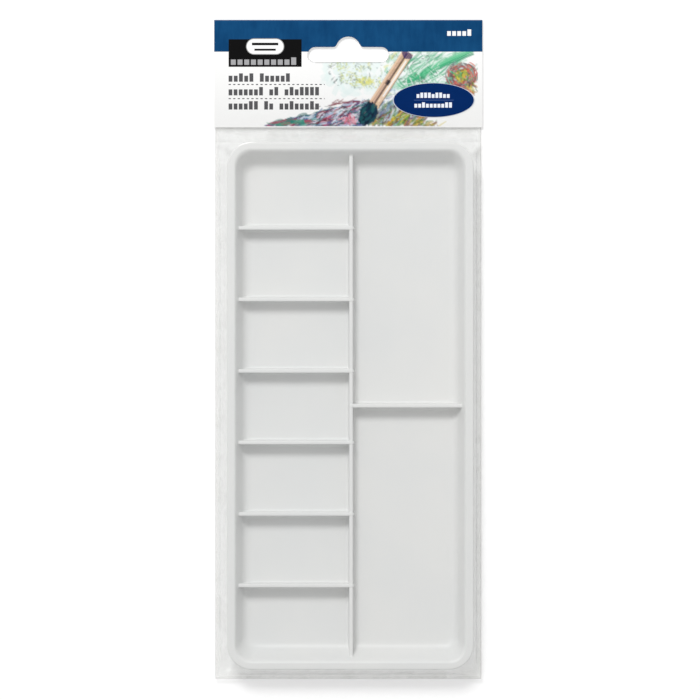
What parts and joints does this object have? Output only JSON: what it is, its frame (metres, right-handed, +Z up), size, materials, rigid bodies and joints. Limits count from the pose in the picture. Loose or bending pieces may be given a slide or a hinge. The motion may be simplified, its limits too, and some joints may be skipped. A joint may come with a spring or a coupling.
{
  "type": "paint palette",
  "caption": "Flat rectangular moulded paint palette with small wells beside long mixing wells, in a clear film bag with a folded hanging header card.",
  "frame": {"origin": "middle of the pack's footprint, on the surface it lies on", "axes": "+Z up out of the wells, +Y towards the header card, +X to the right when the wells are seen from above"},
  "size_m": [0.108, 0.2652, 0.0119],
  "materials": {
    "white_plastic": "satin white injection-moulded polystyrene",
    "clear_film": "clear glossy polypropylene film",
    "printed_card": "coated white card, printed on both sides",
    "navy_label": "satin navy paper label",
    "adhesive": "clear pressure-sensitive adhesive"
  },
  "bodies": {
    "palette": {"palette_tray": "white_plastic", "bag_neck_front": "clear_film", "bag_neck_back": "clear_film"},
    "pouch": {"bag_front_film": "clear_film", "bag_back_film": "clear_film"},
    "header": {"header_card": "printed_card", "oval_label": "navy_label", "adhesive_strip_front": "adhesive", "adhesive_strip_back": "adhesive", "bag_tab_front": "clear_film", "bag_tab_back": "clear_film"}
  },
  "joints": [
    {"name": "bag_pull_off", "type": "slide", "parent": "palette", "child": "pouch", "axis": [0, -1, 0], "range_m": [0, 0.225]},
    {"name": "header_swing", "type": "hinge", "parent": "palette", "child": "header", "pos_m": [0, 0.0873, 0], "axis": [1, 0, 0], "range_deg": [-170, 90]}
  ]
}
